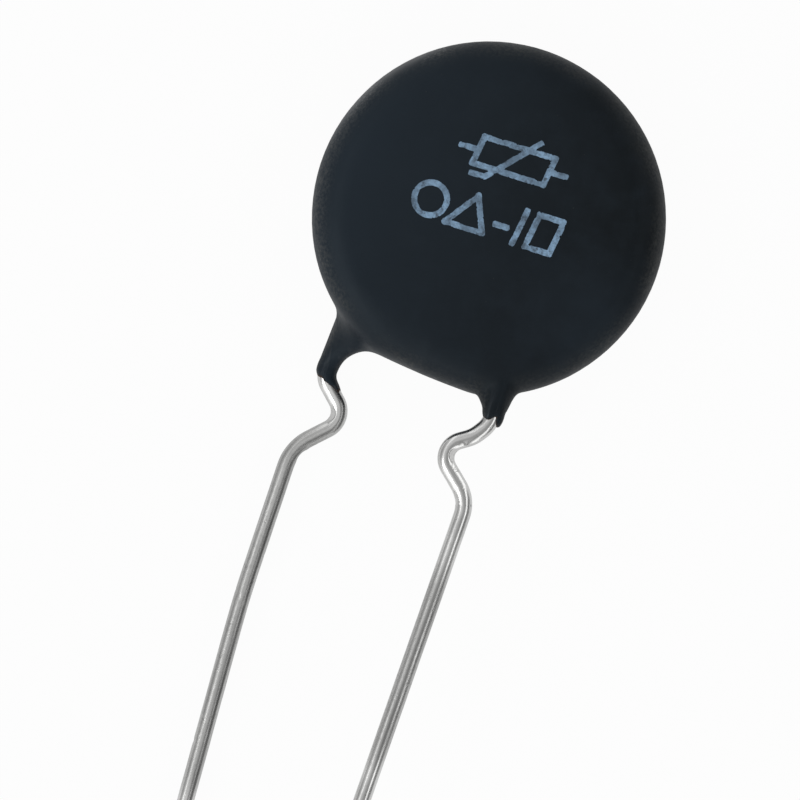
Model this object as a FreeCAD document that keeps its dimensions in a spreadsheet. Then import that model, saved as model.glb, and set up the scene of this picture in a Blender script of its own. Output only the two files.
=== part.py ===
"""Disc thermistor: a coated ceramic disc with two kinked wire leads, in millimetres.

The disc lies on its back. The origin is the centre of the flat underside, +Z is the disc's axis
and points out of the printed face, and the leads run towards -Y.
"""
import FreeCAD, Part
import math
import os
import Sketcher
from FreeCAD import Placement, Rotation, Vector

SIZES = (
    ("ceramic_diameter", 15.0, "sintered disc"),
    ("ceramic_thickness", 2.4, "sintered disc"),
    ("ceramic_chamfer", 0.15, "edge of the pressed disc"),
    ("electrode_margin", 0.5, "bare ceramic outside the silver film"),
    ("electrode_thickness", 0.03, "fired silver film"),
    ("wire_diameter", 0.8, "tinned copper lead"),
    ("lead_pitch", 8.0, "between the leads at their first bends"),
    ("lead_offset", -1.1, "midway between the leads, off the disc's centre line"),
    ("lead_overlap", 2.6, "how far past the disc's centre a lead's inner end lies"),
    ("lead_length", 27.75, "from the disc's lower rim to the cut ends"),
    ("solder_film", 0.05, "under the wire"),
    ("solder_over_wire", 0.15, "at the top of the mound"),
    ("solder_beside_wire", 0.7, "at the middle of the mound"),
    ("solder_length", 7.0, "along the wire"),
    ("coat_side", 0.75, "round the rim of the ceramic"),
    ("coat_between_leads", 0.4, "the same, where the resin ran thin between the leads"),
    ("coat_over_wire", 0.42, "above and below the wires"),
    ("thin_side_radius", 46.0, "flatter stretch of the outline between the leads"),
    ("thin_side_lean", 5.1, "degrees, from the centre line towards the rear lead"),
    ("thin_side_blend", 3.0, "radius that joins the flatter stretch to the circle"),
    ("rim_land", 1.6, "straight band left between the two rounds of the rim"),
    ("neck_slant", 21.5, "degrees, of the coat's ends on the leads"),
    ("neck_straight", 0.12, "plain neck above a lead's first bend"),
    ("neck_up", 3.85, "above the disc's lower rim, where a neck starts inside the disc"),
    ("web_up_1", 1.95, "above the disc's lower rim, where a web starts inside the disc"),
    ("web_up_2", 1.25, "above the disc's lower rim"),
    ("web_up_3", 0.5, "above the disc's lower rim"),
    ("web_lean", 50.0, "degrees, from level towards the disc's middle plane"),
    ("web_bury", 0.05, "how far a web's own end lies inside the neck"),
    ("web_swell", 0.12, "of its reach, that a web is thicker by on each side"),
    ("rear_neck_coat", 0.11, "resin wall on the lead"),
    ("rear_neck_length", 1.234, "below the disc's lower rim"),
    ("rear_web_in_1", 3.47, "reach towards the other lead, beyond the neck"),
    ("rear_web_in_2", 2.32, "the same, lower down"),
    ("rear_web_in_3", 1.22, "the same, lower down"),
    ("rear_web_in_4", 0.48, "the same, level with the disc's lower rim"),
    ("rear_web_out_1", 0.18, "reach away from the other lead, beyond the neck"),
    ("rear_web_out_2", 0.14, "the same, lower down"),
    ("rear_web_out_3", 0.19, "the same, lower down"),
    ("rear_web_out_4", 0.2, "the same, level with the disc's lower rim"),
    ("front_neck_coat", 0.16, "resin wall on the lead"),
    ("front_neck_length", 0.784, "below the disc's lower rim"),
    ("front_web_in_1", 2.25, "reach towards the other lead, beyond the neck"),
    ("front_web_in_2", 1.5, "the same, lower down"),
    ("front_web_in_3", 0.81, "the same, lower down"),
    ("front_web_in_4", 0.35, "the same, level with the disc's lower rim"),
    ("front_web_out_1", 2.05, "reach away from the other lead, beyond the neck"),
    ("front_web_out_2", 1.66, "the same, lower down"),
    ("front_web_out_3", 0.36, "the same, lower down"),
    ("front_web_out_4", 0.22, "the same, level with the disc's lower rim"),
    ("rear_first_bend_drop", 0.697, "below the disc's lower rim"),
    ("rear_angle_0", -4.0, "degrees from straight down, towards +X, under the coat"),
    ("rear_angle_1", 46.0, "degrees"),
    ("rear_angle_2", -45.5, "degrees"),
    ("rear_angle_3", -1.05, "degrees"),
    ("rear_angle_4", 2.07, "degrees"),
    ("rear_straight_1", 0.84, "between bends"),
    ("rear_straight_2", 1.02, "between bends"),
    ("rear_straight_3", 4.88, "between bends"),
    ("rear_bend_1", 0.5, "inside radius"),
    ("rear_bend_2", 0.55, "inside radius, the crimp"),
    ("rear_bend_3", 1.8, "inside radius"),
    ("rear_bend_4", 60.0, "inside radius, the slight bow of the leg"),
    ("front_first_bend_drop", 0.371, "below the disc's lower rim"),
    ("front_angle_0", 3.0, "degrees from straight down, towards +X, under the coat"),
    ("front_angle_1", -36.0, "degrees"),
    ("front_angle_2", -57.0, "degrees"),
    ("front_angle_3", 47.6, "degrees"),
    ("front_angle_4", -1.87, "degrees"),
    ("front_straight_1", 0.22, "between bends"),
    ("front_straight_2", 0.39, "between bends"),
    ("front_straight_3", 0.96, "between bends"),
    ("front_bend_1", 1.0, "inside radius"),
    ("front_bend_2", 1.1, "inside radius"),
    ("front_bend_3", 0.45, "inside radius, the crimp"),
    ("front_bend_4", 1.3, "inside radius"),
)

doc = FreeCAD.newDocument("DiscThermistor")
sheet = doc.addObject("Spreadsheet::Sheet", "Sizes")
for row, (alias, value, meaning) in enumerate(SIZES, start=1):
    sheet.set(f"A{row}", alias)
    sheet.set(f"B{row}", str(value))
    sheet.set(f"C{row}", meaning)
    sheet.setAlias(f"B{row}", alias)
doc.recompute()

# Sizes that follow from the ones in the sheet, as expressions on its cells
COATED_RADIUS = "(Sizes.ceramic_diameter / 2 + Sizes.coat_side)"
THIN_RADIUS = "(Sizes.ceramic_diameter / 2 + Sizes.coat_between_leads)"
ELECTRODE_RADIUS = "(Sizes.ceramic_diameter / 2 - Sizes.electrode_margin)"
WIRE_RADIUS = "(Sizes.wire_diameter / 2)"
ELECTRODE_FACE = "(Sizes.ceramic_thickness / 2 + Sizes.electrode_thickness)"
WIRE_RISE = f"({ELECTRODE_FACE} + Sizes.solder_film + {WIRE_RADIUS})"
HALF_THICKNESS = f"({WIRE_RISE} + {WIRE_RADIUS} + Sizes.coat_over_wire)"

# Which way each side of the disc faces along Z. Its lead lies on the same side along X.
SIDES = {"rear": -1, "front": 1}
BENDS = 4

# Each lead has a web towards the other one and a web away from it, with opposite leans
WAYS = {"in": 1, "out": -1}


def number(expression):
    """The value of an expression on the sheet's cells."""
    result = sheet.evalExpression(expression)
    return float(getattr(result, "Value", result))


def level(side, rise):
    """Height of something that lies `rise` from the disc's middle plane, on one side of it."""
    return f"({HALF_THICKNESS} + {SIDES[side]} * {rise})"


def drop(below_rim):
    """Y of something that lies a distance below the disc's lower rim."""
    return f"(-{COATED_RADIUS} - {below_rim})"


def first_bend(side):
    return drop(f"Sizes.{side}_first_bend_drop")


def wire_x(side, height):
    """X of the wire at a given Y, above its first bend."""
    place = f"(Sizes.lead_offset + {SIDES[side]} * Sizes.lead_pitch / 2)"
    return f"({place} - tan(Sizes.{side}_angle_0) * ({height} - {first_bend(side)}))"


def add_body(label):
    body = doc.addObject("PartDesign::Body", label)
    body.Label = label
    return body


def add_sketch(body, name, plane, lift="0"):
    """A sketch on one of the body's own planes, lifted off it along the plane's normal."""
    sketch = body.newObject("Sketcher::SketchObject", name)
    support = next(f for f in body.Origin.OriginFeatures if f.Role == plane)
    sketch.AttachmentSupport = [(support, "")]
    sketch.MapMode = "FlatFace"
    sketch.setExpression("AttachmentOffset.Base.z", lift)
    return sketch


def dimension(sketch, name, kind, *places, size):
    """A named dimension of the sketch, driven by an expression."""
    value = number(size)
    if kind == "Angle":
        value = math.radians(value)
    index = sketch.addConstraint(Sketcher.Constraint(kind, *places, value))
    sketch.renameConstraint(index, name)
    sketch.setExpression(f"Constraints.{name}", size)


def add_circle(sketch, radius):
    """A circle about the sketch's own origin."""
    circle = sketch.addGeometry(Part.Circle(Vector(), Vector(0, 0, 1), number(radius)))
    sketch.addConstraint(Sketcher.Constraint("Coincident", circle, 3, -1, 1))
    dimension(sketch, "radius", "Radius", circle, size=radius)


def pad(body, name, sketch, length):
    feature = body.newObject("PartDesign::Pad", name)
    feature.Profile = sketch
    feature.setExpression("Length", length)
    return feature


def faces_across(shape):
    """Names of the faces that look straight up or down."""
    flat = []
    for index, face in enumerate(shape.Faces, start=1):
        if isinstance(face.Surface, Part.Plane) and abs(face.Surface.Axis.z) > 0.999:
            flat.append(f"Face{index}")
    return flat


def ceramic_disc():
    body = add_body("ceramic_disc")
    lift = f"{HALF_THICKNESS} - Sizes.ceramic_thickness / 2"
    outline = add_sketch(body, "CeramicOutline", "XY_Plane", lift)
    add_circle(outline, "Sizes.ceramic_diameter / 2")
    disc = pad(body, "CeramicPad", outline, "Sizes.ceramic_thickness")
    doc.recompute()
    edge = body.newObject("PartDesign::Chamfer", "CeramicEdge")
    edge.Base = (disc, faces_across(disc.Shape))
    edge.setExpression("Size", "Sizes.ceramic_chamfer")
    return body


def electrode(side):
    """The silver film on one face, padded away from the ceramic."""
    body = add_body(f"{side}_electrode")
    start = "Sizes.ceramic_thickness / 2" if side == "front" else ELECTRODE_FACE
    outline = add_sketch(body, f"{side}FilmOutline", "XY_Plane", level(side, start))
    add_circle(outline, ELECTRODE_RADIUS)
    pad(body, f"{side}FilmPad", outline, "Sizes.electrode_thickness")
    return body


def towards(heading):
    """Unit vector of a heading, in degrees from straight down (-Y) towards +X."""
    angle = math.radians(heading)
    return Vector(math.sin(angle), -math.cos(angle), 0)


def add_run(sketch, side, index, start, length):
    """A straight of the wire, which ends at the bend of the next index."""
    heading = f"Sizes.{side}_angle_{index}"
    end = start + towards(number(heading)) * length
    line = sketch.addGeometry(Part.LineSegment(start, end))
    dimension(sketch, f"angle_{index}", "Angle", line, size=f"{heading} - 90")
    return line, end


def add_bend(sketch, index, start, heading, turn, radius):
    """An arc that leaves `start` at `heading`. Returns it, its first and last point and its end."""
    way = 1 if turn > 0 else -1
    ahead = towards(heading)
    centre = start + Vector(-ahead.y, ahead.x, 0) * (way * number(radius))
    spoke = start - centre
    first = math.atan2(spoke.y, spoke.x)
    last = first + math.radians(turn)
    circle = Part.Circle(centre, Vector(0, 0, 1), number(radius))
    arc = sketch.addGeometry(Part.ArcOfCircle(circle, min(first, last), max(first, last)))
    dimension(sketch, f"bend_{index}", "Radius", arc, size=radius)
    end = centre + Vector(math.cos(last), math.sin(last), 0) * number(radius)
    return arc, (1, 2) if turn > 0 else (2, 1), end


def add_route(body, side, name, begin, bends, finish=None):
    """The wire's centre line, as straights and tangent bends.

    It starts at the height `begin`, takes the first `bends` bends and ends at the height `finish`,
    or after the straight that follows its last bend.
    """
    sketch = add_sketch(body, name, "XY_Plane", level(side, WIRE_RISE))
    heading = number(f"Sizes.{side}_angle_0")
    point = Vector(number(wire_x(side, begin)), number(begin), 0)
    length = (number(begin) - number(first_bend(side))) / math.cos(math.radians(heading))
    line, point = add_run(sketch, side, 0, point, length)
    across = wire_x(side, first_bend(side))
    dimension(sketch, "begin", "DistanceY", -1, 1, line, 1, size=begin)
    dimension(sketch, "place", "DistanceX", -1, 1, line, 2, size=across)
    dimension(sketch, "first_bend", "DistanceY", -1, 1, line, 2, size=first_bend(side))
    for index in range(1, bends + 1):
        following = number(f"Sizes.{side}_angle_{index}")
        radius = f"Sizes.{side}_bend_{index} + {WIRE_RADIUS}"
        turn = following - heading
        arc, (entry, leave), point = add_bend(sketch, index, point, heading, turn, radius)
        sketch.addConstraint(Sketcher.Constraint("Tangent", line, 2, arc, entry))
        heading = following
        last = finish is not None and index == bends
        if last:
            length = (point.y - number(finish)) / math.cos(math.radians(heading))
        else:
            straight = f"Sizes.{side}_straight_{index}"
            length = number(straight)
        line, point = add_run(sketch, side, index, point, length)
        sketch.addConstraint(Sketcher.Constraint("Tangent", arc, leave, line, 1))
        if last:
            dimension(sketch, "finish", "DistanceY", -1, 1, line, 2, size=finish)
        else:
            dimension(sketch, f"straight_{index}", "Distance", line, size=straight)
    return sketch


def add_pipe(label, side, begin, bends, radius, finish=None):
    """A round bar of the given radius along the wire's centre line."""
    body = add_body(label)
    route = add_route(body, side, f"{label}_route", begin, bends, finish)
    section = add_sketch(body, f"{label}_section", "XZ_Plane", f"-1 * {begin}")
    heading = number(f"Sizes.{side}_angle_0")
    section.AttachmentOffset = Placement(Vector(), Rotation(Vector(0, 1, 0), heading))
    section.setExpression("AttachmentOffset.Base.x", wire_x(side, begin))
    section.setExpression("AttachmentOffset.Base.y", level(side, WIRE_RISE))
    add_circle(section, radius)
    pipe = body.newObject("PartDesign::AdditivePipe", f"{label}_pipe")
    pipe.Profile = section
    pipe.Spine = (route, [])
    return body


def lead(side):
    finish = drop("Sizes.lead_length")
    return add_pipe(f"{side}_lead", side, "Sizes.lead_overlap", BENDS, WIRE_RADIUS, finish)


def solder(side, wire):
    """Half an ellipsoid on the film, with the wire lying in it."""
    mound = doc.addObject("Part::Ellipsoid", f"{side}_mound")
    mound.Angle1 = 0
    height = "Sizes.solder_film + Sizes.wire_diameter + Sizes.solder_over_wire"
    mound.setExpression("Radius1", height)
    mound.setExpression("Radius2", f"{WIRE_RADIUS} + Sizes.solder_beside_wire")
    mound.setExpression("Radius3", "Sizes.solder_length / 2")
    turned = 0 if side == "front" else 180
    mound.Placement = Placement(Vector(), Rotation(Vector(0, 1, 0), turned))
    mound.setExpression("Placement.Base.x", wire_x(side, "0"))
    mound.setExpression("Placement.Base.z", level(side, ELECTRODE_FACE))
    joint = doc.addObject("Part::Cut", f"{side}_solder")
    joint.Label = f"{side}_solder"
    joint.Base = mound
    joint.Tool = wire
    return joint


def add_coat_outline(body):
    """The coated disc in plan: a circle, and a flatter stretch between the leads."""
    sketch = add_sketch(body, "CoatOutline", "XY_Plane")
    main = number(COATED_RADIUS)
    flat = number("Sizes.thin_side_radius")
    blend = number("Sizes.thin_side_blend")
    shift = flat - number(THIN_RADIUS)
    thin_way = towards(-number("Sizes.thin_side_lean"))
    flat_centre = thin_way * -shift
    # Where the blend's centre lies, along the thin side's direction and across it
    along = ((flat - blend) ** 2 - (main - blend) ** 2 - shift ** 2) / (2 * shift)
    across = math.sqrt((main - blend) ** 2 - along ** 2)
    sideways = Vector(-thin_way.y, thin_way.x, 0)

    def bearing(vector):
        return math.atan2(vector.y, vector.x)

    def add_arc(centre, radius, start, end):
        if end < start:
            end += 2 * math.pi
        circle = Part.Circle(centre, Vector(0, 0, 1), radius)
        return sketch.addGeometry(Part.ArcOfCircle(circle, start, end))

    before, after = (thin_way * along + sideways * (way * across) for way in (-1, 1))
    big = add_arc(Vector(), main, bearing(after), bearing(before))
    first = add_arc(before, blend, bearing(before), bearing(before - flat_centre))
    thin = add_arc(flat_centre, flat, bearing(before - flat_centre), bearing(after - flat_centre))
    last = add_arc(after, blend, bearing(after - flat_centre), bearing(after))
    ring = (big, first, thin, last)
    for arc, following in zip(ring, ring[1:] + ring[:1]):
        sketch.addConstraint(Sketcher.Constraint("Tangent", arc, 2, following, 1))
    sketch.addConstraint(Sketcher.Constraint("Coincident", big, 3, -1, 1))
    dimension(sketch, "coated", "Radius", big, size=COATED_RADIUS)
    dimension(sketch, "thin_side", "Radius", thin, size="Sizes.thin_side_radius")
    dimension(sketch, "blend_before", "Radius", first, size="Sizes.thin_side_blend")
    dimension(sketch, "blend_after", "Radius", last, size="Sizes.thin_side_blend")
    reach = f"(Sizes.thin_side_radius - {THIN_RADIUS})"
    aside = f"{reach} * sin(Sizes.thin_side_lean)"
    up = f"{reach} * cos(Sizes.thin_side_lean)"
    dimension(sketch, "thin_aside", "DistanceX", -1, 1, thin, 3, size=aside)
    dimension(sketch, "thin_up", "DistanceY", -1, 1, thin, 3, size=up)
    return sketch


def coated_disc():
    body = add_body("coated_disc")
    disc = pad(body, "CoatPad", add_coat_outline(body), f"2 * {HALF_THICKNESS}")
    doc.recompute()
    rim = body.newObject("PartDesign::Fillet", "RimRound")
    rim.Base = (disc, faces_across(disc.Shape))
    rim.setExpression("Radius", f"{HALF_THICKNESS} - Sizes.rim_land / 2")
    return body


def neck_radius(side):
    return f"({WIRE_RADIUS} + Sizes.{side}_neck_coat)"


def neck(side):
    return add_pipe(f"{side}_neck", side, drop("(-Sizes.neck_up)"), 1, neck_radius(side))


def web_section(side, way, index, height, reach):
    """An ellipse across the wire: one end lies in the neck and the other reaches to the rim."""
    section = doc.addObject("Part::Ellipse", f"{side}_web_{way}_section_{index}")
    buried = f"({neck_radius(side)} - Sizes.web_bury)"
    shift = f"(({reach} + Sizes.web_bury) / 2)"
    section.setExpression("MajorRadius", f"{buried} + {shift}")
    section.setExpression("MinorRadius", f"{buried} + Sizes.web_swell * {reach}")
    across = Rotation(Vector(0, 0, 1), number(f"Sizes.{side}_angle_0"))
    upright = Rotation(Vector(1, 0, 0), 90)
    leaning = Rotation(Vector(0, 0, 1), WAYS[way] * number("Sizes.web_lean"))
    section.Placement = Placement(Vector(), across * upright * leaning)
    aside = f"{-SIDES[side] * WAYS[way]} * {shift} * cos(Sizes.web_lean)"
    section.setExpression("Placement.Base.x", f"{wire_x(side, height)} + {aside}")
    section.setExpression("Placement.Base.y", height)
    inward = f"{shift} * sin(Sizes.web_lean)"
    section.setExpression("Placement.Base.z", level(side, f"({WIRE_RISE} - {inward})"))
    return section


def web(side, way):
    """The resin that runs from the disc's rim down one flank of the neck, lofted along it."""
    sections = []
    for index, above in enumerate(("Sizes.web_up_1", "Sizes.web_up_2", "Sizes.web_up_3", "0"), 1):
        reach = f"Sizes.{side}_web_{way}_{index}"
        sections.append(web_section(side, way, index, drop(f"(-{above})"), reach))
    sections.append(web_section(side, way, 5, neck_top(side), "(-1 * Sizes.web_bury)"))
    loft = doc.addObject("Part::Loft", f"{side}_web_{way}")
    loft.Sections = sections
    loft.Solid = True
    return loft


def neck_top(side):
    """Y where the webs end, a little above the wire's first bend."""
    return f"({first_bend(side)} + Sizes.neck_straight)"


def neck_end(side):
    """A block below the slanted line where the coat ends on a lead."""
    block = doc.addObject("Part::Box", f"{side}_neck_end")
    block.setExpression("Length", "Sizes.lead_pitch / 2")
    block.setExpression("Width", "Sizes.lead_pitch / 2")
    block.setExpression("Height", f"2 * {HALF_THICKNESS}")
    slant = Rotation(Vector(0, 0, -1), number("Sizes.neck_slant"))
    block.Placement = Placement(Vector(), slant)
    half, deep = "Sizes.lead_pitch / 4", "Sizes.lead_pitch / 2"
    cosine, sine = "cos(Sizes.neck_slant)", "sin(Sizes.neck_slant)"
    place = wire_x(side, first_bend(side))
    end = drop(f"Sizes.{side}_neck_length")
    block.setExpression("Placement.Base.x", f"{place} - {half} * {cosine} - {deep} * {sine}")
    block.setExpression("Placement.Base.y", f"{end} + {half} * {sine} - {deep} * {cosine}")
    return block


def resin_coating(inner):
    """The resin as it set: the outer form, without what it was dipped over."""
    form = doc.addObject("Part::MultiFuse", "coat_form")
    webs = [web(side, way) for side in SIDES for way in WAYS]
    form.Shapes = [coated_disc()] + [neck(side) for side in SIDES] + webs
    core = doc.addObject("Part::MultiFuse", "dipped_assembly")
    core.Shapes = inner + [neck_end(side) for side in SIDES]
    coat = doc.addObject("Part::Cut", "resin_coating")
    coat.Label = "resin_coating"
    coat.Base = form
    coat.Tool = core
    return coat


def check(pieces):
    """Stops on anything that failed to build."""
    for thing in doc.Objects:
        if "Invalid" in thing.State or "Error" in thing.State:
            raise RuntimeError(f"{thing.Label} failed: {thing.State}")
    for piece in pieces:
        shape = piece.Shape
        if shape.isNull() or not shape.isValid() or len(shape.Solids) != 1:
            raise RuntimeError(f"{piece.Label} isn't one valid solid")


leads = {side: lead(side) for side in SIDES}
electrodes = [electrode(side) for side in SIDES]
solders = [solder(side, wire) for side, wire in leads.items()]
core_pieces = [ceramic_disc()] + electrodes + solders + list(leads.values())
nodes = core_pieces + [resin_coating(core_pieces)]
doc.recompute()
check(nodes)

os.makedirs("parts", exist_ok=True)
for node in nodes:
    node.Shape.exportStep(f"parts/{node.Label}.step")
    box = node.Shape.BoundBox
    print(f"{node.Label:16s} {node.Shape.Volume:9.3f} mm3  X {box.XMin:.2f} {box.XMax:.2f}"
          f"  Y {box.YMin:.2f} {box.YMax:.2f}  Z {box.ZMin:.2f} {box.ZMax:.2f}")
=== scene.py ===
"""Finishes the disc thermistor: resin skin, tinned leads, marking, inner pieces and studio."""
import math

import bmesh
import bpy
import numpy as np
from mathutils import Matrix, Vector, noise
from mathutils.bvhtree import BVHTree


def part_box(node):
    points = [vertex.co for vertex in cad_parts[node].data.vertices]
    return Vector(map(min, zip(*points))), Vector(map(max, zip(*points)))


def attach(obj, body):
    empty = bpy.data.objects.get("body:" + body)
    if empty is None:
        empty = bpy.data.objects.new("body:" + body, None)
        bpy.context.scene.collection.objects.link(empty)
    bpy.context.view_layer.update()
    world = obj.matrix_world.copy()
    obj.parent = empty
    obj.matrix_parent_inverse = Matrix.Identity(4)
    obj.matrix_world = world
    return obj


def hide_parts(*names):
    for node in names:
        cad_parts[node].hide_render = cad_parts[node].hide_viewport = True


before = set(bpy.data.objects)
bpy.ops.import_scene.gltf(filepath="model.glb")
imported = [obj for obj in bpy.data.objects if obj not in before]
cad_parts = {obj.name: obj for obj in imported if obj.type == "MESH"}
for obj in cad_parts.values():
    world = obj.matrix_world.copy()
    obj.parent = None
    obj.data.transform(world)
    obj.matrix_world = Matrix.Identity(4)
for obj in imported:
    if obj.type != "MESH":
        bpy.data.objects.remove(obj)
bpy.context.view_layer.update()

bl_info = {
    "name": "Disc thermistor finish",
    "version": (1, 0, 0),
    "blender": (4, 5, 0),
    "location": "3D View > Sidebar > Thermistor",
    "description": "Builds the visible pieces of a dipped disc thermistor around its CAD frame",
    "category": "Object",
}

MM = 0.001
BODY = "root"
DISC_LOW, DISC_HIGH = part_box("ceramic_disc")
DISC_MIDDLE = (DISC_LOW.z + DISC_HIGH.z) / 2
INNER_NODES = ("ceramic_disc", "front_electrode", "rear_electrode", "front_solder", "rear_solder")

# The leads' routes, as in the part's source, in millimetres and degrees from straight down (-Y).
# A bend is (heading after it, centre line's radius, straight after it). The last straight runs out
# to the cut end.
LEAD_TOP = 2.6
LEAD_CUT = -36.0
# "pressed" lists the bends that the forming tool flattened on their inner side: share of the
# depth, and how far the flat is tipped towards the front in degrees.
# "streak" is the dull line that the drawing die left along the wire: degrees round it from the
# front towards +X, the half width in degrees and how dull it is.
# "bright" lists the stretches, from Y to Y, that handling didn't dull.
LEADS = {
    "rear": {
        "first_bend": (-5.1, -8.947), "heading": -4.0,
        "bends": ((46.0, 0.9, 0.84), (-45.5, 0.95, 1.02), (-1.05, 2.2, 4.88), (2.07, 60.4, None)),
        "pressed": ((1, 0.95, 30.0), (2, 1.0, -10.0)),
        "streak": (27.0, 24.0, 0.95), "bright": ((-7.0, -11.6), (-29.5, -32.5)),
    },
    "front": {
        "first_bend": (2.9, -8.621), "heading": 3.0,
        "bends": ((-36.0, 1.4, 0.22), (-57.0, 1.5, 0.39), (47.6, 0.85, 0.96), (-1.87, 1.7, None)),
        "pressed": ((2, 1.0, 35.0), (3, 0.9, 15.0)),
        "streak": (4.0, 15.0, 0.60), "bright": ((-7.0, -16.6), (-25.4, -37.0)),
    },
}
# Faces round each wire
WIRE_SIDES = 48

# Where the resin ends on each lead, in millimetres and degrees: a point of the end line, its
# slant, and the seeds of its raggedness
NECK_ENDS = {
    "rear": {"point": (-5.1, -9.484), "slant": -21.5, "seeds": (3.7, 1.3)},
    "front": {"point": (2.9, -9.034), "slant": -21.5, "seeds": (8.1, 5.5)},
}
# The necks' stretch in Y, their reach to each side, and the resin's depths from the lead's
# middle that count as neck, in millimetres
NECK_SPAN = (-11.0, -4.5)
NECK_REACH = 1.7
NECK_DEPTHS = (0.02, 0.9)
# In millimetres: resin that at least stays over the leads inside the webs, where above its end
# it starts to thin, the run of that curve, how deep its edge sinks, and the wall that looks brown
LEAST_WALL = 0.09
FEATHER_START = 0.6
FEATHER_RUN = 0.13
FEATHER_SINK = 0.12
BROWN_WALL = 0.05

# Spots of the resin's painted light: the patch of painted sheen on the rim, the hollow beside the
# rear web that the painted rim highlight leaves out, and the way to the rim's corner with the
# palest painted highlight
SHEEN_SPOT = (5.8 * MM, -3.4 * MM, 4.8 * MM)
HIGHLIGHT_FREE_HOLLOW = (-4.2 * MM, -7.9 * MM, 3.4 * MM)
GLINT_WAY = (-0.80, 0.60, 0.0)

# The marking, in millimetres: how far it leans over as a share of its height, the cells that
# it's drawn in and the area that they fill
MARK_SLANT = 0.15
MARK_CELL = 0.03
MARK_AREA = ((-3.95, 3.7), (-1.2, 4.4))


# ---- Settings ----


def length_of(name, description, default, low, high):
    """A length's setting, given in millimetres."""
    return bpy.props.FloatProperty(
        name=name, description=description, default=default * MM, min=low * MM, max=high * MM,
        subtype="DISTANCE", unit="LENGTH", precision=6)


def colour_of(name, description, default):
    return bpy.props.FloatVectorProperty(
        name=name, description=description, default=default, min=0.0, max=1.0, subtype="COLOR")


class CoatSettings(bpy.types.PropertyGroup):
    grain: length_of("Mesh grain", "Edge length of the skin's faces", 0.1, 0.05, 0.5)
    seam_rounds: bpy.props.IntProperty(
        name="Seam rounds", description="How often the web's seams are softened",
        default=300, min=0, max=1000)
    waviness: length_of("Waviness", "Height of the slow swells that the resin set with",
                        0.022, 0.0, 0.2)
    colour: colour_of("Resin", "Colour of the cured resin", (0.0063, 0.0098, 0.0142))


class LeadSettings(bpy.types.PropertyGroup):
    diameter: length_of("Diameter", "Of the tinned wire", 0.8, 0.2, 2.0)
    crimp: length_of("Crimp", "How deep the forming tool pressed into the kinks", 0.09, 0.0, 0.3)
    scoring: length_of("Scoring", "Depth of the drawn lines along the wire", 0.007, 0.0, 0.05)
    wander: length_of("Wander", "Height of the wire's slow unevenness", 0.014, 0.0, 0.05)
    colour: colour_of("Tin", "Colour of the tin plating", (0.66, 0.66, 0.65))


class MarkingSettings(bpy.types.PropertyGroup):
    stroke: length_of("Stroke", "Width of the printed lines", 0.29, 0.1, 1.0)
    film: length_of("Film", "Thickness of the ink", 0.006, 0.001, 0.05)
    wear: bpy.props.FloatProperty(
        name="Wear", description="Share of the ink that has rubbed away", subtype="FACTOR",
        default=0.15, min=0.0, max=1.0)
    colour: colour_of("Ink", "Colour of the ink", (0.165, 0.268, 0.390))


class StudioSettings(bpy.types.PropertyGroup):
    lens: bpy.props.FloatProperty(
        name="Lens", description="Focal length of the camera", subtype="DISTANCE_CAMERA",
        default=500.0, min=20.0, max=1000.0)
    width: length_of("View width", "What the picture takes in at the disc's middle plane",
                     37.29, 10.0, 1000.0)
    roll: bpy.props.FloatProperty(
        name="Roll", description="Turn of the picture about the line of sight",
        default=math.radians(17.45), subtype="ANGLE", unit="ROTATION")
    floor: colour_of("Floor", "Colour of the table top", (0.62, 0.62, 0.62))


SETTINGS = {
    "thermistor_coat": CoatSettings,
    "thermistor_leads": LeadSettings,
    "thermistor_marking": MarkingSettings,
    "thermistor_studio": StudioSettings,
}


# ---- Helpers for node trees ----


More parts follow.
